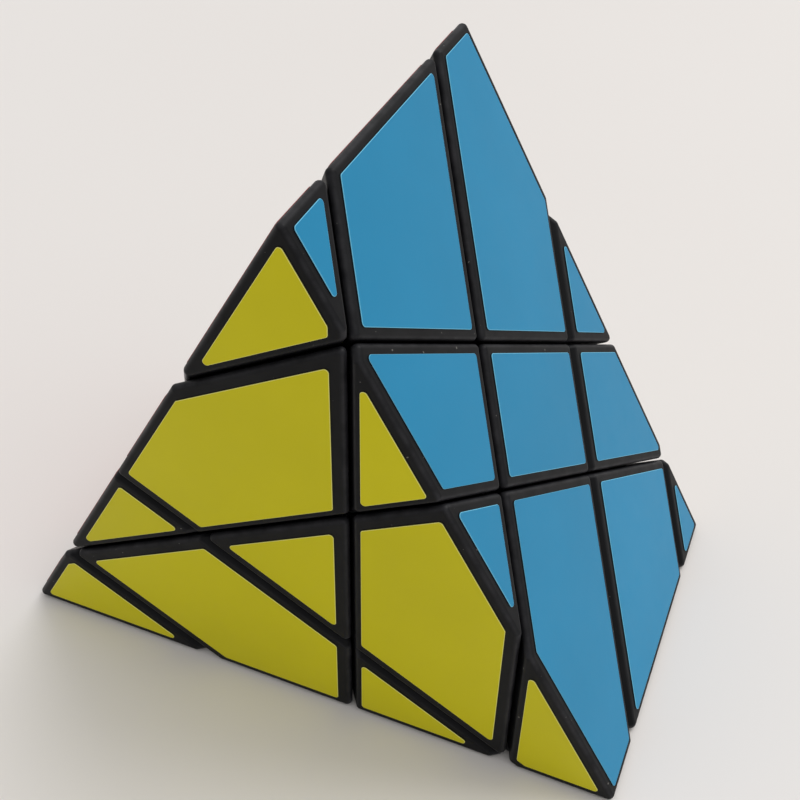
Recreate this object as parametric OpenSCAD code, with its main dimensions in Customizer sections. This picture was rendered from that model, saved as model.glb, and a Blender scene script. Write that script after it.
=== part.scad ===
// Triangular-prism twisty puzzle: a 3x3x3 turning mechanism under a prism-shaped casing.
// Millimetres. +Z is up and the puzzle lies on one of its three long faces.
// Origin: centre of the resting face, on the table.
// Every piece is drawn in the turning frame, whose X, Y and Z are the three pairs of
// turning axes, and in_place() then tips that frame so that the prism lies flat.

/* [Casing] */
// Distance between neighbouring cut planes: one third of the mechanism's width
pitch = 19; // [17:0.5:22]
// Distance from the centre of the prism to each of its three long faces
face_distance = 26.9; // [26.5:0.1:30]
// Distance from the centre of the prism to each of its two triangular ends
end_distance = 27.8; // [27:0.1:31]
// Wall thickness of the hollow outer pieces
wall = 1.8; // [1.2:0.1:2.2]
// Clearance on each side of every cut between two pieces
cut_gap = 0.15; // [0.1:0.05:0.25]

/* [Stickers] */
// Thickness of the vinyl stickers
sticker_thickness = 0.15; // [0.1:0.05:0.3]
// Radius of the sticker corners
sticker_corner = 0.5; // [0.3:0.1:1.5]
// Bare plastic beside a cut that meets the face squarely
inset_square = 1.5; // [1:0.05:2]
// Bare plastic at a sharp piece edge on a long face
inset_side_sharp = 2.5; // [1.5:0.1:3]
// Bare plastic at a blunt piece edge on a long face
inset_side_blunt = 1.3; // [0.8:0.1:2.5]
// Bare plastic at a sharp piece edge on a triangular end
inset_end_sharp = 2.7; // [1.5:0.1:3]
// Bare plastic at a blunt piece edge on a triangular end
inset_end_blunt = 1; // [0.8:0.1:2.5]
// Bare plastic beside the three long edges of the prism
inset_long_edge = 1.8; // [1:0.1:2.5]
// Bare plastic beside the edges of the triangular ends
inset_end_edge = 1.4; // [1:0.1:2]

/* [Mechanism] */
// Radius of the inner sphere on which the feet slide
slide_radius = 22; // [21.5:0.1:22.5]
// Radius of the sphere where the feet meet the outer pieces
seat_radius = 24; // [23.5:0.1:24.5]
// Thickness of the glue line between each foot and its outer piece
glue_line = 0.05; // [0.02:0.01:0.1]
// Radius of the hollow around the core
hollow_radius = 14; // [13.5:0.1:15]
// Half-angle of the cones that part the feet, in degrees
foot_cone = 70.5; // [69.5:0.1:71]
// Radius of the ball of the core
core_ball_radius = 8; // [6:0.5:9]
// Radius of the six arms of the core
core_arm_radius = 4.2; // [3.5:0.1:4.4]
// Length of the core's arms from its centre
core_arm_length = 12.8; // [12:0.1:12.9]

/* [Screws and springs] */
// Radius of the screw shank
screw_radius = 1.5; // [1.2:0.1:1.6]
// Radius of the screw head
screw_head_radius = 2.8; // [2.4:0.1:3]
// Height of the screw head
screw_head_height = 1.6; // [1.2:0.1:2]
// Distance from the centre to the seat of the spring
spring_seat = 15.5; // [15:0.1:16]
// Length of the spring as assembled
spring_length = 5; // [4:0.1:5.2]
// Outer radius of the spring
spring_radius = 2.9; // [2.5:0.1:3]
// Radius of the spring wire
spring_wire = 0.3; // [0.2:0.05:0.4]
// Thickness of the washer under each screw head
washer_thickness = 0.5; // [0.4:0.1:0.8]

/* [Hidden] */
$fn = 64;

black = "#1d1d1f";
inner_grey = "#8d9094";
steel = "#b9bcc0";
right_blue = "#3a8fbd";
front_yellow = "#b3a51f";
left_red = "#b3312c";
base_green = "#2f8f4e";
back_white = "#e9e9e6";

cut = pitch / 2;                              // distance of each cut plane from the centre
far = 4 * pitch;                              // beyond every corner of the prism
cone_gap = 0.3;                               // half of the angle left between two feet, degrees
overrun = 1;                                  // how far a cutting shape runs past what it cuts
neck_overlap = 1;                             // how far a foot's neck runs into what it joins
thread_bite = 1.5;                            // how deep the screws reach into the core's ball
bore_radius = screw_radius + 0.05;            // the centre bases turn freely on the screws
thread_radius = screw_radius + 0.01;          // holes of the core that take the screws
counterbore_radius = spring_radius + 0.3;     // well for the spring, washer and screw head
stem_start = core_arm_length + 0.1;           // foot of each centre base, on the core's arm
washer_seat = spring_seat + spring_length;
head_seat = washer_seat + washer_thickness;
rest_height = face_distance + sticker_thickness;

root2 = sqrt(2);
root3 = sqrt(3);
root6 = sqrt(6);

// Unit vectors of the turning frame. The prism's own axis runs along prism_axis.
prism_axis = [1, 1, 1] / root3;
turn_axes = [[1, 0, 0], [0, 1, 0], [0, 0, 1]];
right_normal = [1, -1, 0] / root2;
left_normal = [-1, 0, 1] / root2;
base_normal = [0, 1, -1] / root2;

layer_range = [-1, 0, 1];

// ---------- frames ----------

// Tips the turning frame over: the prism's axis lies along Y and base_normal points down.
module in_place() {
    multmatrix([
        [2 / root6, -1 / root6, -1 / root6, 0],
        [1 / root3, 1 / root3, 1 / root3, 0],
        [0, -1 / root2, 1 / root2, rest_height],
        [0, 0, 0, 1]
    ])
        children();
}

// Puts local X and Y in the plane whose normal is given, with Z along the normal.
module on_plane(across, along, normal, distance) {
    multmatrix([
        [across[0], along[0], normal[0], normal[0] * distance],
        [across[1], along[1], normal[1], normal[1] * distance],
        [across[2], along[2], normal[2], normal[2] * distance],
        [0, 0, 0, 1]
    ])
        children();
}

// Turns local Z to the turning axis that a centre's cell names, such as [0, -1, 0].
module along_cell(cell) {
    rotate([cell[1] == 0 ? 0 : -90 * cell[1], cell[0] * 90, 0])
        rotate([cell[2] < 0 ? 180 : 0, 0, 0])
            children();
}

// ---------- casing ----------

// The whole prism in the turning frame, with every face moved inward by inset.
module prism(inset) {
    inner = face_distance - inset;
    on_plane(cross(base_normal, prism_axis), base_normal, -prism_axis, 0)
        linear_extrude(height = 2 * (end_distance - inset), center = true)
            polygon([[-root3 * inner, inner], [root3 * inner, inner], [0, -2 * inner]]);
}

// The box of one cell of the 3x3x3 grid, with every cut plane moved inward by inset.
module cell_box(cell, inset) {
    lowest = [for (i = cell) i < 0 ? -far : i * pitch - cut + inset];
    highest = [for (i = cell) i > 0 ? far : i * pitch + cut - inset];
    translate(lowest)
        cube(highest - lowest);
}

// One outer piece: its share of the prism, hollow, and open towards the mechanism.
module casing(cell) {
    color(black)
        in_place()
            difference() {
                intersection() {
                    prism(0);
                    cell_box(cell, cut_gap);
                }
                sphere(r = seat_radius + glue_line, $fn = 128);
                intersection() {
                    prism(wall);
                    cell_box(cell, cut_gap + wall);
                }
            }
}

module top_front_corner() { casing([-1, -1, 1]); }
module top_back_corner() { casing([1, -1, 1]); }
module left_back_corner() { casing([-1, 1, 1]); }
module back_end_corner() { casing([1, 1, 1]); }
module right_front_corner() { casing([1, -1, -1]); }
module right_back_corner() { casing([1, 1, -1]); }
module left_front_corner() { casing([-1, 1, -1]); }
module front_end_corner() { casing([-1, -1, -1]); }

module top_ridge_edge() { casing([0, -1, 1]); }
module left_face_edge() { casing([-1, 0, 1]); }
module back_right_edge() { casing([1, 0, 1]); }
module back_left_edge() { casing([0, 1, 1]); }
module right_face_edge() { casing([1, -1, 0]); }
module front_left_edge() { casing([-1, -1, 0]); }
module back_base_edge() { casing([1, 1, 0]); }
module left_ridge_edge() { casing([-1, 1, 0]); }
module right_ridge_edge() { casing([1, 0, -1]); }
module base_face_edge() { casing([0, 1, -1]); }
module front_right_edge() { casing([0, -1, -1]); }
module front_base_edge() { casing([-1, 0, -1]); }

module left_back_centre() { casing([0, 0, 1]); }
module right_front_centre() { casing([0, -1, 0]); }
module right_back_centre() { casing([1, 0, 0]); }
module left_front_centre() { casing([-1, 0, 0]); }
module base_back_centre() { casing([0, 1, 0]); }
module base_front_centre() { casing([0, 0, -1]); }

// ---------- feet and centre bases ----------

// The space between two spheres about the centre.
module ball_layer(inner, outer) {
    difference() {
        sphere(r = outer, $fn = 128);
        sphere(r = inner, $fn = 128);
    }
}

// A solid cone with its point at the centre, opening along one turning axis.
module open_cone(cell, half_angle) {
    reach = slide_radius + 2 * neck_overlap;
    along_cell(cell)
        cylinder(h = reach, r1 = 0, r2 = reach * tan(half_angle), $fn = 128);
}

// A unit cell step along one axis: axis 0, 1 or 2, and its sign.
function step(axis, sign) = [for (i = [0:2]) i == axis ? sign : 0];

// The part of the mechanism ball that belongs to a corner's or an edge's foot.
module foot_sector(cell) {
    difference() {
        intersection_for (axis = [for (i = [0:2]) if (cell[i] != 0) i])
            open_cone(step(axis, cell[axis]), foot_cone - cone_gap);
        for (axis = [for (i = [0:2]) if (cell[i] == 0) i])
            for (sign = [-1, 1])
                open_cone(step(axis, sign), foot_cone + cone_gap);
    }
}

// One foot: a flange under the outer piece, a neck, and the toe that the neighbours hold in.
module foot(cell) {
    in_place() {
        intersection() {
            cell_box(cell, cut_gap);
            ball_layer(slide_radius + cut_gap, seat_radius);
        }
        intersection() {
            cell_box(cell, cut_gap);
            foot_sector(cell);
            ball_layer(slide_radius - neck_overlap, slide_radius + neck_overlap);
        }
        intersection() {
            foot_sector(cell);
            ball_layer(hollow_radius, slide_radius - cut_gap);
        }
    }
}

module corner_feet(layer) {
    color(inner_grey)
        for (x = [-1, 1])
            for (y = [-1, 1])
                foot([x, y, layer]);
}

module edge_feet(cells) {
    color(inner_grey)
        for (cell = cells)
            foot(cell);
}

module upper_corner_feet() { corner_feet(1); }
module lower_corner_feet() { corner_feet(-1); }
module upper_edge_feet() { edge_feet([[0, -1, 1], [-1, 0, 1], [1, 0, 1], [0, 1, 1]]); }
module middle_edge_feet() { edge_feet([[1, -1, 0], [-1, -1, 0], [1, 1, 0], [-1, 1, 0]]); }
module lower_edge_feet() { edge_feet([[1, 0, -1], [0, 1, -1], [0, -1, -1], [-1, 0, -1]]); }

// Carries a centre piece and turns on its screw: a stem, a flange and a well for the spring.
module centre_base(cell) {
    stem_angle = 90 - foot_cone - cone_gap;
    stem_end = slide_radius + neck_overlap;
    color(inner_grey)
        in_place()
            difference() {
                union() {
                    intersection() {
                        cell_box(cell, cut_gap);
                        ball_layer(slide_radius + cut_gap, seat_radius);
                    }
                    along_cell(cell)
                        translate([0, 0, stem_start])
                            cylinder(
                                h = stem_end - stem_start,
                                r1 = stem_start * tan(stem_angle),
                                r2 = stem_end * tan(stem_angle)
                            );
                }
                along_cell(cell)
                    cylinder(h = seat_radius + overrun, r = bore_radius);
                along_cell(cell)
                    translate([0, 0, spring_seat])
                        cylinder(h = seat_radius, r = counterbore_radius);
            }
}

module left_back_base() { centre_base([0, 0, 1]); }
module right_front_base() { centre_base([0, -1, 0]); }
module right_back_base() { centre_base([1, 0, 0]); }
module left_front_base() { centre_base([-1, 0, 0]); }
module base_back_base() { centre_base([0, 1, 0]); }
module base_front_base() { centre_base([0, 0, -1]); }

// ---------- core, screws, washers and springs ----------

// Repeats something along each of the six turning axes.
module on_six_axes() {
    for (axis = [0:2])
        for (sign = [-1, 1])
            along_cell(step(axis, sign))
                children();
}

module core() {
    hole_start = core_ball_radius - thread_bite - 0.5;
    color(black)
        in_place()
            difference() {
                union() {
                    sphere(r = core_ball_radius);
                    on_six_axes()
                        cylinder(h = core_arm_length, r = core_arm_radius);
                }
                on_six_axes()
                    translate([0, 0, hole_start])
                        cylinder(h = core_arm_length, r = thread_radius);
            }
}

module screws() {
    tip = core_ball_radius - thread_bite;
    recess_width = 0.7;
    recess_depth = 1;
    color(steel)
        in_place()
            on_six_axes()
                difference() {
                    union() {
                        translate([0, 0, tip])
                            cylinder(h = head_seat - tip, r = screw_radius);
                        translate([0, 0, head_seat])
                            cylinder(h = screw_head_height, r = screw_head_radius);
                    }
                    for (turn = [0, 90])
                        rotate([0, 0, turn])
                            translate([0, 0, head_seat + screw_head_height])
                                cube([2 * screw_radius, recess_width, 2 * recess_depth], center = true);
                }
}

module washers() {
    color(steel)
        in_place()
            on_six_axes()
                translate([0, 0, washer_seat])
                    difference() {
                        cylinder(h = washer_thickness, r = spring_radius);
                        translate([0, 0, -overrun])
                            cylinder(h = washer_thickness + 2 * overrun, r = bore_radius);
                    }
}

// A coil of wire: rings of points that follow a helix, joined into one closed solid.
module spring_coil() {
    turns = 4;
    ring_sides = 6;
    steps_per_turn = 14;
    rings = turns * steps_per_turn;
    coil_radius = spring_radius - spring_wire;
    end_gap = 0.02;
    rise = spring_length - 2 * (spring_wire + end_gap);
    points = [
        for (i = [0:rings])
            let (turn = 360 * i / steps_per_turn)
                for (j = [0:ring_sides - 1])
                    let (round = 360 * j / ring_sides, out = coil_radius + spring_wire * cos(round))
                        [out * cos(turn), out * sin(turn),
                            spring_wire + end_gap + rise * i / rings + spring_wire * sin(round)]
    ];
    sides = [
        for (i = [0:rings - 1])
            for (j = [0:ring_sides - 1])
                let (a = i * ring_sides + j, b = i * ring_sides + (j + 1) % ring_sides)
                    [a, a + ring_sides, b + ring_sides, b]
    ];
    first_cap = [for (j = [0:ring_sides - 1]) j];
    last_cap = [for (j = [ring_sides - 1:-1:0]) rings * ring_sides + j];
    polyhedron(points = points, faces = concat(sides, [first_cap, last_cap]));
}

module springs() {
    color(steel)
        in_place()
            on_six_axes()
                translate([0, 0, spring_seat])
                    spring_coil();
}

// ---------- stickers ----------

// The part of a convex outline where normal * point is at most limit.
function clip(outline, normal, limit) = [
    for (i = [0:len(outline) - 1])
        let (
            a = outline[i],
            b = outline[(i + 1) % len(outline)],
            room_a = limit - normal * a,
            room_b = limit - normal * b
        )
            each concat(
                room_a >= 0 ? [a] : [],
                room_a * room_b < 0 ? [a + (b - a) * room_a / (room_a - room_b)] : []
            )
];

// Area of an outline whose points run round it, by the shoelace sum.
function outline_area(outline) = len(outline) < 3 ? 0 : abs([
    for (i = [0:len(outline) - 1])
        let (a = outline[i], b = outline[(i + 1) % len(outline)])
            (a[0] * b[1] - a[1] * b[0]) / 2
] * [for (i = [0:len(outline) - 1]) 1]);

// A face is [across, along, normal, distance, outline, sharp inset, blunt inset].
function long_face(normal) =
    let (
        half_width = root3 * face_distance - inset_long_edge,
        half_length = end_distance - inset_end_edge
    )
        [
            cross(prism_axis, normal), prism_axis, normal, face_distance,
            [
                [-half_width, -half_length], [half_width, -half_length],
                [half_width, half_length], [-half_width, half_length]
            ],
            inset_side_sharp, inset_side_blunt
        ];

function end_face(sign) =
    let (inner = face_distance - inset_end_edge)
        [
            cross(base_normal, sign * prism_axis), base_normal, sign * prism_axis, end_distance,
            [[-root3 * inner, inner], [root3 * inner, inner], [0, -2 * inner]],
            inset_end_sharp, inset_end_blunt
        ];

// The limits that one turning axis of a cell sets on a face, as [direction, offset] pairs.
function cell_limits(cell, axis) = [
    for (side = [-1, 1])
        if (cell[axis] != side)
            [side * turn_axes[axis], side * cell[axis] * pitch + cut]
];

// Clips a face's outline to a cell, one limit after another, leaving the bare margin.
function clip_all(outline, face, limits, i = 0) = i == len(limits) || len(outline) < 3
    ? outline
    : let (
        direction = limits[i][0],
        slope = [direction * face[0], direction * face[1]],
        meet = direction * face[2],
        inset = abs(meet) < 0.1 ? inset_square : meet > 0 ? face[6] : face[5]
    )
        clip_all(
            clip(outline, slope, limits[i][1] - meet * face[3] - inset * norm(slope)),
            face, limits, i + 1
        );

function sticker_outline(face, cell) = clip_all(
    face[4], face,
    [for (axis = [0:2]) each cell_limits(cell, axis)]
);

// Every sticker that one layer of pieces carries on one face of the prism. Slivers go bare.
module stickers(face, layer, shade) {
    smallest_area = 12;
    color(shade)
        in_place()
            on_plane(face[0], face[1], face[2], face[3])
                linear_extrude(height = sticker_thickness)
                    for (x = layer_range)
                        for (y = layer_range) {
                            outline = sticker_outline(face, [x, y, layer]);
                            if (outline_area(outline) > smallest_area)
                                offset(r = sticker_corner, $fn = 24)
                                    offset(delta = -sticker_corner)
                                        polygon(outline);
                        }
}

module right_stickers_upper() { stickers(long_face(right_normal), 1, right_blue); }
module right_stickers_middle() { stickers(long_face(right_normal), 0, right_blue); }
module right_stickers_lower() { stickers(long_face(right_normal), -1, right_blue); }
module left_stickers_upper() { stickers(long_face(left_normal), 1, left_red); }
module left_stickers_middle() { stickers(long_face(left_normal), 0, left_red); }
module left_stickers_lower() { stickers(long_face(left_normal), -1, left_red); }
module base_stickers_upper() { stickers(long_face(base_normal), 1, base_green); }
module base_stickers_middle() { stickers(long_face(base_normal), 0, base_green); }
module base_stickers_lower() { stickers(long_face(base_normal), -1, base_green); }
module front_stickers_upper() { stickers(end_face(-1), 1, front_yellow); }
module front_stickers_middle() { stickers(end_face(-1), 0, front_yellow); }
module front_stickers_lower() { stickers(end_face(-1), -1, front_yellow); }
module back_stickers_upper() { stickers(end_face(1), 1, back_white); }
module back_stickers_middle() { stickers(end_face(1), 0, back_white); }
module back_stickers_lower() { stickers(end_face(1), -1, back_white); }

// ---------- nodes ----------

top_front_corner();
top_back_corner();
left_back_corner();
back_end_corner();
right_front_corner();
right_back_corner();
left_front_corner();
front_end_corner();
top_ridge_edge();
left_face_edge();
back_right_edge();
back_left_edge();
right_face_edge();
front_left_edge();
back_base_edge();
left_ridge_edge();
right_ridge_edge();
base_face_edge();
front_right_edge();
front_base_edge();
left_back_centre();
right_front_centre();
right_back_centre();
left_front_centre();
base_back_centre();
base_front_centre();
left_back_base();
right_front_base();
right_back_base();
left_front_base();
base_back_base();
base_front_base();
upper_corner_feet();
lower_corner_feet();
upper_edge_feet();
middle_edge_feet();
lower_edge_feet();
core();
screws();
washers();
springs();
right_stickers_upper();
right_stickers_middle();
right_stickers_lower();
left_stickers_upper();
left_stickers_middle();
left_stickers_lower();
base_stickers_upper();
base_stickers_middle();
base_stickers_lower();
front_stickers_upper();
front_stickers_middle();
front_stickers_lower();
back_stickers_upper();
back_stickers_middle();
back_stickers_lower();
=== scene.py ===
"""Looks of the triangular-prism twisty puzzle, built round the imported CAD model.

The casings are modelled again with rounded edges. Stickers and mechanism keep their CAD shapes.
Lengths are in millimetres, and new shapes are worked out about the prism's centre. The lights,
the floor and every finished mesh are in metres.
Cells of the 3x3x3 mechanism are written (x, y, z) along its turning axes, each -1, 0 or 1.
"""

import itertools
import math

import bmesh
import bpy
from mathutils import Matrix, Vector


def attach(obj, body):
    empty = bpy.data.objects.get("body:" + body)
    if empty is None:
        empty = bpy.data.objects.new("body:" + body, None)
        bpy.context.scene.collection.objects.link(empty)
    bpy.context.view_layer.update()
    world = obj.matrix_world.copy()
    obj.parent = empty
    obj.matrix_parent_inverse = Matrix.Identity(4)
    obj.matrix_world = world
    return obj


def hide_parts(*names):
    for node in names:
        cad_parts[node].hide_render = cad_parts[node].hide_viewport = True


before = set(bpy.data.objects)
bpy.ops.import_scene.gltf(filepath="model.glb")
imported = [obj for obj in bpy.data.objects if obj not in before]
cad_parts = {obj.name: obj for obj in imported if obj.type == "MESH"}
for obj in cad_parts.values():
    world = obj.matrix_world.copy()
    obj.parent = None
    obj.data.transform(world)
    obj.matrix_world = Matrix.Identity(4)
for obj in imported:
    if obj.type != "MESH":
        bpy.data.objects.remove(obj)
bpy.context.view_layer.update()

MM = 0.001  # in metres

# The casings and stickers, as the CAD source has them.
PITCH = 19.0
FACE_DISTANCE = 26.9
END_DISTANCE = 27.8
WALL = 1.8
CUT_GAP = 0.15
SEAT_RADIUS = 24.05
STICKER_THICKNESS = 0.15

# The moulded pieces: how they are rounded, hollowed and shaded, and how their edges are scuffed and
# painted lighter as highlight.
EDGE_RADIUS = 0.75
CAVITY_RADIUS = 0.3
ARC_STEPS = 6  # strips across a rounded edge
BALL_SEGMENTS = 64
BALL_RINGS = 40
SHARP_ANGLE = math.radians(40)  # edges of more than this are shaded sharp
WEAR_AND_HIGHLIGHT_DEPTH = 0.2 * EDGE_RADIUS  # rounded edges reach full scuffing and painted highlight this far below the flats

# The stickers' rims: how they are rounded, once the triangles of each flat are merged.
RIM_WIDTH = 0.6 * STICKER_THICKNESS
RIM_SEGMENTS = 2
RIM_ANGLE = math.radians(50)  # edges of more than this are rounded
FLAT_ANGLE = math.radians(1)  # triangles within this are merged

# Tolerances for points and directions, which are single precision.
TOUCHING = 0.001
SAME_PLACE = 0.002
PARALLEL = 1e-6
DIRECTION_DECIMALS = 5

# Mechanism's axes to part's axes: the prism's own axis becomes Y, and its resting face is down.
TURNING_TO_PART = Matrix((
    Vector((2, -1, -1)) / math.sqrt(6),
    Vector((1, 1, 1)) / math.sqrt(3),
    Vector((0, -1, 1)) / math.sqrt(2),
))
CENTRE = Vector((0, 0, FACE_DISTANCE + STICKER_THICKNESS))

RIGHT_NORMAL = Vector((math.sqrt(3) / 2, 0, 0.5))
LEFT_NORMAL = Vector((-math.sqrt(3) / 2, 0, 0.5))
BASE_NORMAL = Vector((0, 0, -1))
FRONT_NORMAL = Vector((0, -1, 0))
BACK_NORMAL = Vector((0, 1, 0))

# The prism's faces, as normals and distances from its centre.
PRISM_FACES = [
    (RIGHT_NORMAL, FACE_DISTANCE),
    (LEFT_NORMAL, FACE_DISTANCE),
    (BASE_NORMAL, FACE_DISTANCE),
    (FRONT_NORMAL, END_DISTANCE),
    (BACK_NORMAL, END_DISTANCE),
]

# The CAD nodes of the casings, each with its cell of the mechanism.
CELLS = {
    "top_front_corner": (-1, -1, 1),
    "top_back_corner": (1, -1, 1),
    "left_back_corner": (-1, 1, 1),
    "back_end_corner": (1, 1, 1),
    "right_front_corner": (1, -1, -1),
    "right_back_corner": (1, 1, -1),
    "left_front_corner": (-1, 1, -1),
    "front_end_corner": (-1, -1, -1),
    "top_ridge_edge": (0, -1, 1),
    "left_face_edge": (-1, 0, 1),
    "back_right_edge": (1, 0, 1),
    "back_left_edge": (0, 1, 1),
    "right_face_edge": (1, -1, 0),
    "front_left_edge": (-1, -1, 0),
    "back_base_edge": (1, 1, 0),
    "left_ridge_edge": (-1, 1, 0),
    "right_ridge_edge": (1, 0, -1),
    "base_face_edge": (0, 1, -1),
    "front_right_edge": (0, -1, -1),
    "front_base_edge": (-1, 0, -1),
    "left_back_centre": (0, 0, 1),
    "right_front_centre": (0, -1, 0),
    "right_back_centre": (1, 0, 0),
    "left_front_centre": (-1, 0, 0),
    "base_back_centre": (0, 1, 0),
    "base_front_centre": (0, 0, -1),
}

# The bodies, by their layer along the mechanism's z axis.
BODY_OF_LAYER = {1: "upper_layer", 0: "middle_slice", -1: "lower_layer"}

# Ranges: most of a noise's values, nearly all of them, and the whole range of a factor.
MIDDLE = (0.35, 0.65)
WIDE = (0.3, 0.7)
WHOLE = (0, 1)

# How far a squeezed noise is turned about X, Y and Z, in radians.
NOISE_TURN = (0.3, 0.5, 0.7)

# Stickers: the darkest and lightest film, partly painted reflection, and the darker side, as shares
# of the film's colour, and the cosines of the angle to the sticker's face over which its painted
# highlight rim and its side fade out.
DARKER = 0.93
LIGHTER = 1.07
DARKER_SIDE = 0.12
RIM_TURNED = (0.9, 0.995)
SIDE_TURNED = (0.1, 0.6)

# The camera: its place, and its aim as azimuth, elevation and roll in degrees. Azimuth runs
# from the -Y side towards +X.
CAMERA_PLACE = Vector((49.7, -118.8, 146.0))
CAMERA_AIM = (21.52, 40.88, 1.29)
CLIP_START = 10
LENS = 53.26
SENSOR_WIDTH = 36

# The room: the direction that it is brightest in, and its strength over a range of cosines of
# the angle to that direction.
ROOM_COLOUR = (1.0, 0.99, 0.98, 1)
BRIGHTEST = Vector((0.35, 0.4, 0.85))
ROOM_TURNED = (-0.2, 1)
ROOM_STRENGTH = (0.35, 1.0)

# The ceiling light and the floor.
LIGHT_PLACE = Vector((0.8, 0.95, 2.1))
LIGHT_TARGET = Vector((0, 0, 0.02))
LIGHT_SIZE = 1.2
LIGHT_WATTS = 19.5
LIGHT_COLOUR = (1, 0.99, 0.97)
FLOOR_SIZE = 40


# ---------- shader helpers ----------

def set_range(node, old, new):
    """Sets a Map Range node to map the range old to the range new."""
    for key, number in zip(("From Min", "From Max", "To Min", "To Max"), (*old, *new)):
        node.inputs[key].default_value = number


class Shader:
    """A node material under construction, with short calls for the nodes used here."""

    def __init__(self, name):
        self.material = bpy.data.materials.new(name)
        self.material.use_nodes = True
        self.tree = self.material.node_tree
        self.surface = self.tree.nodes["Principled BSDF"]
        self.coordinates = self.add("ShaderNodeTexCoord")

    def add(self, kind, **settings):
        """A new node of a kind, with its settings."""
        node = self.tree.nodes.new(kind)
        for key, value in settings.items():
            setattr(node, key, value)
        return node

    def link(self, source, target):
        self.tree.links.new(source, target)

    def feed(self, **sources):
        """Links outputs to inputs of the surface, as in feed(Base_Color=tone)."""
        for key, source in sources.items():
            self.link(source, self.surface.inputs[key.replace("_", " ")])

    def set(self, **values):
        """Sets inputs of the surface to constants, as in set(Metallic=1.0)."""
        for key, value in values.items():
            self.surface.inputs[key.replace("_", " ")].default_value = value

    def noise(self, scale, detail, roughness=0.5, squeeze=None):
        """Noise with features of about 1 / scale metres, squeezed along each axis by squeeze."""
        node = self.add("ShaderNodeTexNoise")
        node.inputs["Scale"].default_value = scale
        node.inputs["Detail"].default_value = detail
        node.inputs["Roughness"].default_value = roughness
        source = self.coordinates.outputs["Object"]
        if squeeze:
            mapping = self.add("ShaderNodeMapping")
            mapping.inputs["Scale"].default_value = squeeze
            mapping.inputs["Rotation"].default_value = NOISE_TURN
            self.link(source, mapping.inputs["Vector"])
            source = mapping.outputs["Vector"]
        self.link(source, node.inputs["Vector"])
        return node.outputs["Fac"]

    def combine(self, operation, first, second):
        """The sum, product or other combination of two values."""
        node = self.add("ShaderNodeMath", operation=operation)
        self.link(first, node.inputs[0])
        self.link(second, node.inputs[1])
        return node.outputs["Value"]

    def multiply(self, first, second):
        return self.combine("MULTIPLY", first, second)

    def total(self, first, second):
        return self.combine("ADD", first, second)

    def spread(self, value, old, new):
        """Maps a value from the range old to the range new, and holds it at the ends."""
        node = self.add("ShaderNodeMapRange", clamp=True)
        set_range(node, old, new)
        self.link(value, node.inputs["Value"])
        return node.outputs["Result"]

    def blend(self, factor, first, second):
        """A mix of two colours, each a constant or a node's output."""
        node = self.add("ShaderNodeMix", data_type="RGBA")
        self.link(factor, node.inputs["Factor"])
        for slot, colour in (("A", first), ("B", second)):
            socket = next(s for s in node.inputs if s.name == slot and s.type == "RGBA")
            if isinstance(colour, tuple):
                socket.default_value = (*colour, 1)
            else:
                self.link(colour, socket)
        return next(s for s in node.outputs if s.type == "RGBA")

    def bump(self, height, depth, strength, below=None):
        """Relief with a depth in millimetres, laid over the relief below."""
        node = self.add("ShaderNodeBump")
        node.inputs["Strength"].default_value = strength
        node.inputs["Distance"].default_value = depth * MM
        self.link(height, node.inputs["Height"])
        if below:
            self.link(below, node.inputs["Normal"])
        return node.outputs["Normal"]


def linear(red, green, blue):
    """Scene-linear colour of an 8-bit sRGB colour."""
    return tuple(
        v / 12.92 if v <= 0.04045 else ((v + 0.055) / 1.055) ** 2.4
        for v in (red / 255, green / 255, blue / 255)
    )


def times(colour, share):
    """A colour made darker or lighter, to a share of itself."""
    return tuple(c * share for c in colour)


# ---------- materials ----------

def black_plastic():
    """Satin moulded ABS: finely grained, mottled, dusty; rounded edges polished, scuffed and
    lighter with painted highlight.
    """
    s = Shader("black_plastic")
    mottle = s.spread(s.noise(scale=160, detail=4), MIDDLE, WHOLE)
    plain = s.blend(mottle, linear(7, 8, 11), linear(13, 14, 17))
    # Rounded edges are painted lighter in patches: partly real scuffing, partly painted highlight
    # standing in for the light they catch.
    wear_and_highlight = s.add("ShaderNodeAttribute", attribute_name="wear_and_highlight").outputs["Fac"]
    patches = s.spread(s.noise(scale=380, detail=4, roughness=0.6), (0.35, 0.68), (0.3, 1))
    rubbed_and_highlit = s.multiply(wear_and_highlight, patches)
    worn_and_highlit = s.blend(rubbed_and_highlit, plain, linear(46, 46, 49))
    # Only the rare peaks of a fine noise are specks of dust.
    dust = s.spread(s.noise(scale=1500, detail=1), (0.785, 0.815), (0, 0.5))
    satin = s.spread(s.noise(scale=420, detail=3), WIDE, (0.42, 0.52))
    polish = s.spread(rubbed_and_highlit, WHOLE, (0, -0.1))
    grain = s.bump(s.noise(scale=5200, detail=2), depth=0.01, strength=0.35)
    waves = s.bump(s.noise(scale=110, detail=2), depth=0.03, strength=0.4, below=grain)
    s.feed(
        Base_Color=s.blend(dust, worn_and_highlit, linear(150, 148, 142)),
        Roughness=s.total(satin, polish),
        Normal=waves,
    )
    s.set(Specular_IOR_Level=0.14)
    return s.material


def grey_plastic():
    """Plain moulded plastic of the feet and centre bases."""
    s = Shader("grey_plastic")
    mottle = s.spread(s.noise(scale=200, detail=3), MIDDLE, WHOLE)
    s.feed(
        Base_Color=s.blend(mottle, linear(134, 137, 141), linear(148, 151, 155)),
        Roughness=s.spread(s.noise(scale=500, detail=2), WIDE, (0.42, 0.55)),
        Normal=s.bump(s.noise(scale=4200, detail=2), depth=0.01, strength=0.3),
    )
    return s.material


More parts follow.
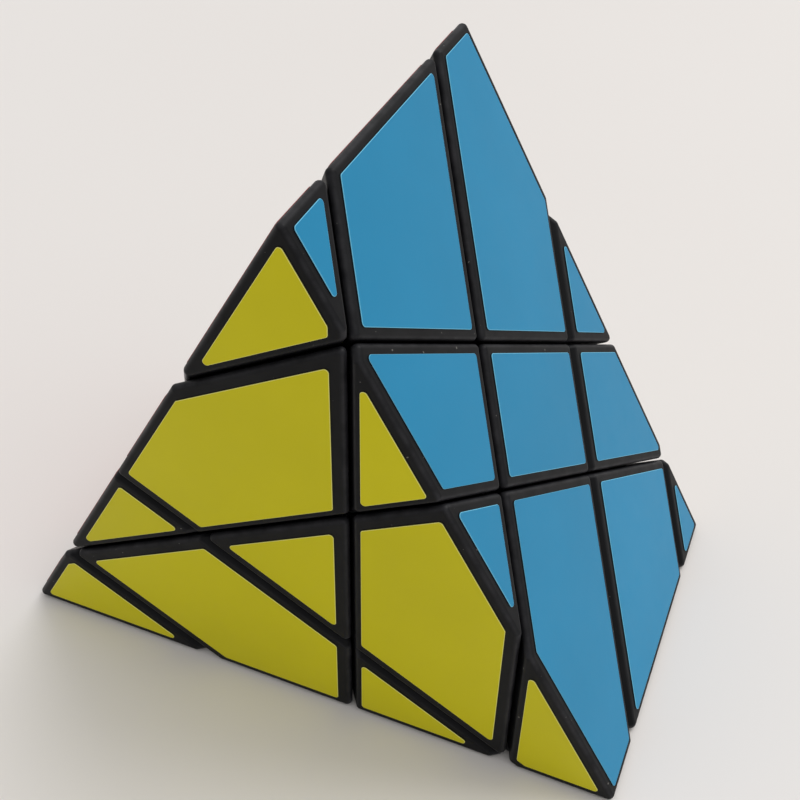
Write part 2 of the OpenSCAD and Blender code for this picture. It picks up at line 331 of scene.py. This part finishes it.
def plated_steel():
    """Zinc-plated steel of the screws, washers and springs, with fine drawn lines."""
    s = Shader("plated_steel")
    lines = s.noise(scale=900, detail=3, roughness=0.6, squeeze=(1, 1, 12))
    s.feed(
        Base_Color=s.blend(lines, linear(172, 174, 178), linear(206, 208, 210)),
        Roughness=s.spread(lines, WIDE, (0.22, 0.38)),
        Normal=s.bump(lines, depth=0.008, strength=0.4),
    )
    s.set(Metallic=1.0)
    return s.material


def vinyl(name, colour, rim_highlight, facing):
    """Coloured vinyl film: faint orange peel, a painted highlight on its rim, and a darker cut
    side.

    Each sticker is a little lighter or darker at random, a painted reflection of stickers at
    slightly different tilts.
    The rim and side are told from the face by how far their normal turns away from facing.
    """
    s = Shader(name)
    cloudy = s.spread(s.noise(scale=55, detail=3), MIDDLE, (0, 0.35))
    # Painted reflection: a random shade per sticker, standing in for stickers that reflect the room
    # differently.
    each = s.add("ShaderNodeNewGeometry").outputs["Random Per Island"]
    tone = s.total(cloudy, s.spread(each, WHOLE, (0, 0.65)))
    film = s.blend(tone, times(colour, DARKER), times(colour, LIGHTER))
    turned = s.add("ShaderNodeVectorMath", operation="DOT_PRODUCT")
    s.link(s.coordinates.outputs["Normal"], turned.inputs[0])
    turned.inputs[1].default_value = facing
    # The rim is painted in its own tone as a painted highlight, for the light its rounded edge
    # catches.
    rim = s.spread(turned.outputs["Value"], RIM_TURNED, (1, 0))
    # The side is darkened to a small share of the film's colour.
    side = s.spread(turned.outputs["Value"], SIDE_TURNED, (1, 0))
    edged = s.blend(rim, film, rim_highlight)
    peel = s.bump(s.noise(scale=420, detail=1), depth=0.01, strength=0.3)
    ripple = s.bump(s.noise(scale=70, detail=1), depth=0.05, strength=0.4, below=peel)
    s.feed(
        Base_Color=s.blend(side, edged, times(colour, DARKER_SIDE)),
        Roughness=s.spread(s.noise(scale=300, detail=3), WIDE, (0.28, 0.36)),
        Normal=ripple,
    )
    s.set(Specular_IOR_Level=0.2)
    return s.material


def pale_table():
    """A pale tabletop with the faintest cloudiness."""
    s = Shader("table_top")
    tone = s.spread(s.noise(scale=2.2, detail=3), WIDE, WHOLE)
    s.feed(Base_Color=s.blend(tone, linear(226, 222, 219), linear(231, 228, 226)))
    s.set(Roughness=0.55, Specular_IOR_Level=0.3)
    return s.material


# ---------- geometry of a rounded piece ----------

def convex_corners(planes):
    """Corners of the solid below all planes, each with the numbers of the planes meeting there.

    A plane is a normal and a distance. The solid is where normal . point <= distance.
    """
    corners = []
    for trio in itertools.combinations(range(len(planes)), 3):
        normals = Matrix([planes[i][0] for i in trio])
        if abs(normals.determinant()) < PARALLEL:
            continue
        point = normals.inverted() @ Vector([planes[i][1] for i in trio])
        outside = any(n.dot(point) > d + TOUCHING for n, d in planes)
        if outside or any((point - other).length < SAME_PLACE for other, _ in corners):
            continue
        meeting = [i for i, (n, d) in enumerate(planes) if abs(n.dot(point) - d) < SAME_PLACE]
        corners.append((point, meeting))
    return corners


def around(directions, axis):
    """Order of some directions, by angle about an axis."""
    first = axis.orthogonal().normalized()
    second = axis.cross(first)
    return sorted(
        range(len(directions)),
        key=lambda i: math.atan2(directions[i].dot(second), directions[i].dot(first)),
    )


def arc_point(start, end, share):
    """The unit vector a share of the way along the great circle from start to end."""
    angle = start.angle(end)
    if angle < PARALLEL:
        return start.copy()
    return (start * math.sin((1 - share) * angle) + end * math.sin(share * angle)) / math.sin(angle)


class RoundedSolid:
    """A convex solid whose edges and corners all have one radius, as a bmesh."""

    def __init__(self, planes, radius):
        self.mesh = bmesh.new()
        self.known = {}
        self.radius = radius
        self.normals = [n for n, _ in planes]
        self.corners = convex_corners([(n, d - radius) for n, d in planes])
        for plane in range(len(planes)):
            self.flat(plane)
        for first, second in itertools.combinations(range(len(planes)), 2):
            self.edge(first, second)
        for corner in range(len(self.corners)):
            self.corner(corner)
        bmesh.ops.recalc_face_normals(self.mesh, faces=self.mesh.faces)

    def vertex(self, corner, direction):
        """The point in a direction on the ball that rounds a corner, made only once."""
        key = (corner, *(round(c, DIRECTION_DECIMALS) for c in direction))
        if key not in self.known:
            point = self.corners[corner][0] + direction * self.radius
            self.known[key] = self.mesh.verts.new(point)
        return self.known[key]

    def face(self, vertices):
        """A polygon, left out where its vertices run together."""
        unique = list(dict.fromkeys(vertices))
        if len(unique) > 2:
            self.mesh.faces.new(unique)

    def flat(self, plane):
        """What the rounding leaves of one plane."""
        mine = [i for i, (_, meeting) in enumerate(self.corners) if plane in meeting]
        if len(mine) < 3:
            return
        middle = sum((self.corners[i][0] for i in mine), Vector()) / len(mine)
        spokes = [self.corners[i][0] - middle for i in mine]
        order = around(spokes, self.normals[plane])
        self.face([self.vertex(mine[i], self.normals[plane]) for i in order])

    def edge(self, first, second):
        """The strips of cylinder between two planes, if they share an edge."""
        ends = [i for i, (_, m) in enumerate(self.corners) if first in m and second in m]
        if len(ends) != 2:
            return
        a, b = ends
        for step in range(ARC_STEPS):
            before, after = (
                arc_point(self.normals[first], self.normals[second], (step + k) / ARC_STEPS)
                for k in (0, 1)
            )
            self.face([
                self.vertex(a, before), self.vertex(a, after),
                self.vertex(b, after), self.vertex(b, before),
            ])

    def corner(self, corner):
        """The piece of ball at a corner, as a fan of spherical triangles."""
        meeting = self.corners[corner][1]
        normals = [self.normals[i] for i in meeting]
        axis = sum(normals, Vector()).normalized()
        ring = [normals[i] for i in around(normals, axis)]
        for second, third in zip(ring[1:], ring[2:]):
            self.patch(corner, ring[0], second, third)

    def patch(self, corner, top, left, right):
        """One spherical triangle, in rows that widen away from top."""
        rows = []
        for i in range(ARC_STEPS + 1):
            start = arc_point(top, left, i / ARC_STEPS)
            end = arc_point(top, right, i / ARC_STEPS)
            rows.append([
                self.vertex(corner, arc_point(start, end, j / i if i else 0))
                for j in range(i + 1)
            ])
        for upper, lower in zip(rows, rows[1:]):
            for j in range(len(upper)):
                self.face([upper[j], lower[j], lower[j + 1]])
                if j + 1 < len(upper):
                    self.face([upper[j], lower[j + 1], upper[j + 1]])


def new_object(name, data):
    """An object in the scene, from a mesh, a light or a camera."""
    made = bpy.data.objects.new(name, data)
    bpy.context.scene.collection.objects.link(made)
    return made


def to_object(name, shape):
    """A Blender object from a bmesh in millimetres about the prism's centre."""
    shape.transform(Matrix.Translation(CENTRE * MM) @ Matrix.Scale(MM, 4))
    data = bpy.data.meshes.new(name)
    shape.to_mesh(data)
    shape.free()
    return new_object(name, data)


def cell_planes(cell, inset):
    """The planes of a cell's cuts, each moved inward by inset."""
    planes = []
    for axis, place in enumerate(cell):
        direction = Vector([TURNING_TO_PART[row][axis] for row in range(3)])
        for side in (-1, 1):
            if place != side:
                planes.append((direction * side, side * place * PITCH + PITCH / 2 - inset))
    return planes


def in_use(planes):
    """Only the planes that bound the solid, so that each rounded edge belongs to a real face."""
    corners = convex_corners(planes)
    return [
        plane for i, plane in enumerate(planes)
        if sum(1 for _, meeting in corners if i in meeting) >= 3
    ]


def apply_modifiers(piece):
    """Makes what a piece's modifiers give its own mesh."""
    evaluated = piece.evaluated_get(bpy.context.evaluated_depsgraph_get())
    finished = bpy.data.meshes.new_from_object(evaluated)
    piece.modifiers.clear()
    piece.data = finished


def carve(piece, cutters):
    """Takes the cutters' shapes out of a piece."""
    for cutter in cutters:
        cut = piece.modifiers.new("cut", "BOOLEAN")
        cut.operation = "DIFFERENCE"
        cut.solver = "EXACT"
        cut.object = cutter
    apply_modifiers(piece)


def flatten(piece):
    """Gives large flat faces even shading beside the narrow rounded ones."""
    normals = piece.modifiers.new("flat_faces", "WEIGHTED_NORMAL")
    normals.keep_sharp = True


def shade(piece):
    """Smooth shading of the rounded edges, with the hollow's sharp corners left sharp."""
    shape = bmesh.new()
    shape.from_mesh(piece.data)
    for face in shape.faces:
        face.smooth = True
    for edge in shape.edges:
        edge.smooth = len(edge.link_faces) == 2 and edge.calc_face_angle() < SHARP_ANGLE
    shape.to_mesh(piece.data)
    shape.free()
    flatten(piece)


def mechanism_ball():
    """The sphere that hollows the inner side of every casing."""
    shape = bmesh.new()
    bmesh.ops.create_uvsphere(
        shape, u_segments=BALL_SEGMENTS, v_segments=BALL_RINGS, radius=SEAT_RADIUS
    )
    return to_object("cutter_ball", shape)


def cavity(cell):
    """The hollow inside one casing, or None where the walls leave no room."""
    walls = [(n, d - WALL) for n, d in PRISM_FACES]
    solid = RoundedSolid(in_use(walls + cell_planes(cell, CUT_GAP + WALL)), CAVITY_RADIUS)
    if not solid.mesh.faces:
        solid.mesh.free()
        return None
    return to_object("cutter_cavity", solid.mesh)


def mark_wear_and_highlight(piece, planes):
    """Stores 0 on the outer flats and 1 on the rounded edges, for the plastic's scuffing and
    painted highlight.
    """
    wear_and_highlight = piece.data.attributes.new("wear_and_highlight", "FLOAT", "POINT")
    for vertex, value in zip(piece.data.vertices, wear_and_highlight.data):
        point = vertex.co / MM - CENTRE
        depth = min(distance - normal.dot(point) for normal, distance in planes)
        value.value = max(0.0, min(1.0, depth / WEAR_AND_HIGHLIGHT_DEPTH))


def casing(name, cell, ball, plastic):
    """One moulded outer piece, rounded outside and hollowed towards the mechanism."""
    planes = in_use(PRISM_FACES + cell_planes(cell, CUT_GAP))
    piece = to_object("casing_" + name, RoundedSolid(planes, EDGE_RADIUS).mesh)
    hollow = cavity(cell)
    carve(piece, [ball, hollow] if hollow else [ball])
    if hollow:
        bpy.data.objects.remove(hollow)
    shade(piece)
    mark_wear_and_highlight(piece, planes)
    piece.data.materials.clear()
    piece.data.materials.append(plastic)
    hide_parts(name)
    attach(piece, BODY_OF_LAYER[cell[2]])


def casings(plastic):
    """All 26 outer pieces."""
    ball = mechanism_ball()
    for name, cell in CELLS.items():
        casing(name, cell, ball, plastic)
    bpy.data.objects.remove(ball)


# ---------- CAD nodes that keep their shape ----------

def dress(node, material):
    """Gives a CAD node its material."""
    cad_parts[node].data.materials.clear()
    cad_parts[node].data.materials.append(material)


def soften_rims(node):
    """Merges a sticker node's triangles into whole faces and rounds its rims slightly."""
    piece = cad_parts[node]
    weld = piece.modifiers.new("weld", "WELD")
    weld.merge_threshold = TOUCHING * MM
    planar = piece.modifiers.new("planar", "DECIMATE")
    planar.decimate_type = "DISSOLVE"
    planar.angle_limit = FLAT_ANGLE
    bevel = piece.modifiers.new("soft_edges", "BEVEL")
    bevel.width = RIM_WIDTH * MM
    bevel.segments = RIM_SEGMENTS
    bevel.limit_method = "ANGLE"
    bevel.angle_limit = RIM_ANGLE
    flatten(piece)


def stickers():
    """The five colours of vinyl, one node for each layer of pieces on each face."""
    # For each face: the film's colour, the painted highlight colour of its rim, and the way it
    # faces.
    colours = {
        "right": (linear(24, 131, 175), linear(130, 214, 244), RIGHT_NORMAL),
        "front": (linear(209, 200, 0), linear(255, 252, 150), FRONT_NORMAL),
        "left": (linear(186, 40, 36), linear(168, 48, 44), LEFT_NORMAL),
        "base": (linear(32, 140, 70), linear(104, 184, 128), BASE_NORMAL),
        "back": (linear(232, 232, 228), linear(244, 244, 242), BACK_NORMAL),
    }
    for face, (colour, rim_highlight, facing) in colours.items():
        film = vinyl("vinyl_" + face, colour, rim_highlight, facing)
        for layer in ("upper", "middle", "lower"):
            node = f"{face}_stickers_{layer}"
            dress(node, film)
            soften_rims(node)


def mechanism(plastic):
    """Core, feet, centre bases and fasteners: hidden inside, and kept as the CAD has them."""
    grey = grey_plastic()
    steel = plated_steel()
    dress("core", plastic)
    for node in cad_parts:
        if node.endswith(("_feet", "_base")):
            dress(node, grey)
        if node in ("screws", "washers", "springs"):
            dress(node, steel)


# ---------- studio ----------

def floor():
    """The tabletop, so wide that low views end in a far horizon."""
    bpy.ops.mesh.primitive_plane_add(size=FLOOR_SIZE, location=(0, 0, 0))
    table = bpy.context.object
    table.name = "table_top"
    table.data.materials.append(pale_table())


def room():
    """Soft light from all round, brightest above, behind and to the right."""
    world = bpy.data.worlds.new("studio")
    world.use_nodes = True
    tree = world.node_tree
    direction = tree.nodes.new("ShaderNodeTexCoord")
    turned = tree.nodes.new("ShaderNodeVectorMath")
    turned.operation = "DOT_PRODUCT"
    turned.inputs[1].default_value = BRIGHTEST.normalized()
    tree.links.new(direction.outputs["Generated"], turned.inputs[0])
    strength = tree.nodes.new("ShaderNodeMapRange")
    set_range(strength, ROOM_TURNED, ROOM_STRENGTH)
    tree.links.new(turned.outputs["Value"], strength.inputs["Value"])
    backdrop = tree.nodes["Background"]
    backdrop.inputs["Color"].default_value = ROOM_COLOUR
    tree.links.new(strength.outputs["Result"], backdrop.inputs["Strength"])
    bpy.context.scene.world = world


def ceiling_light():
    """A wide disk above, behind and to the right, so that the shadow falls forward."""
    data = bpy.data.lights.new("ceiling", "AREA")
    data.shape = "DISK"
    data.size = LIGHT_SIZE
    data.energy = LIGHT_WATTS
    data.color = LIGHT_COLOUR
    light = new_object("ceiling", data)
    light.location = LIGHT_PLACE
    light.rotation_euler = (LIGHT_TARGET - LIGHT_PLACE).to_track_quat("-Z", "Y").to_euler()


def camera():
    """The camera at its place, turned to its aim."""
    azimuth, elevation, roll = (math.radians(a) for a in CAMERA_AIM)
    back = Vector((
        math.sin(azimuth) * math.cos(elevation),
        -math.cos(azimuth) * math.cos(elevation),
        math.sin(elevation),
    ))
    data = bpy.data.cameras.new("camera")
    data.lens = LENS
    data.sensor_width = SENSOR_WIDTH
    data.clip_start = CLIP_START * MM
    viewer = new_object("camera", data)
    turn = (-back).to_track_quat("-Z", "Y").to_matrix() @ Matrix.Rotation(roll, 3, "Z")
    viewer.location = CAMERA_PLACE * MM
    viewer.rotation_euler = turn.to_euler()
    bpy.context.scene.camera = viewer


# ---------- the whole scene ----------

camera()
room()
ceiling_light()
floor()
bpy.context.scene.view_settings.view_transform = "Standard"

black = black_plastic()
casings(black)
mechanism(black)
stickers()
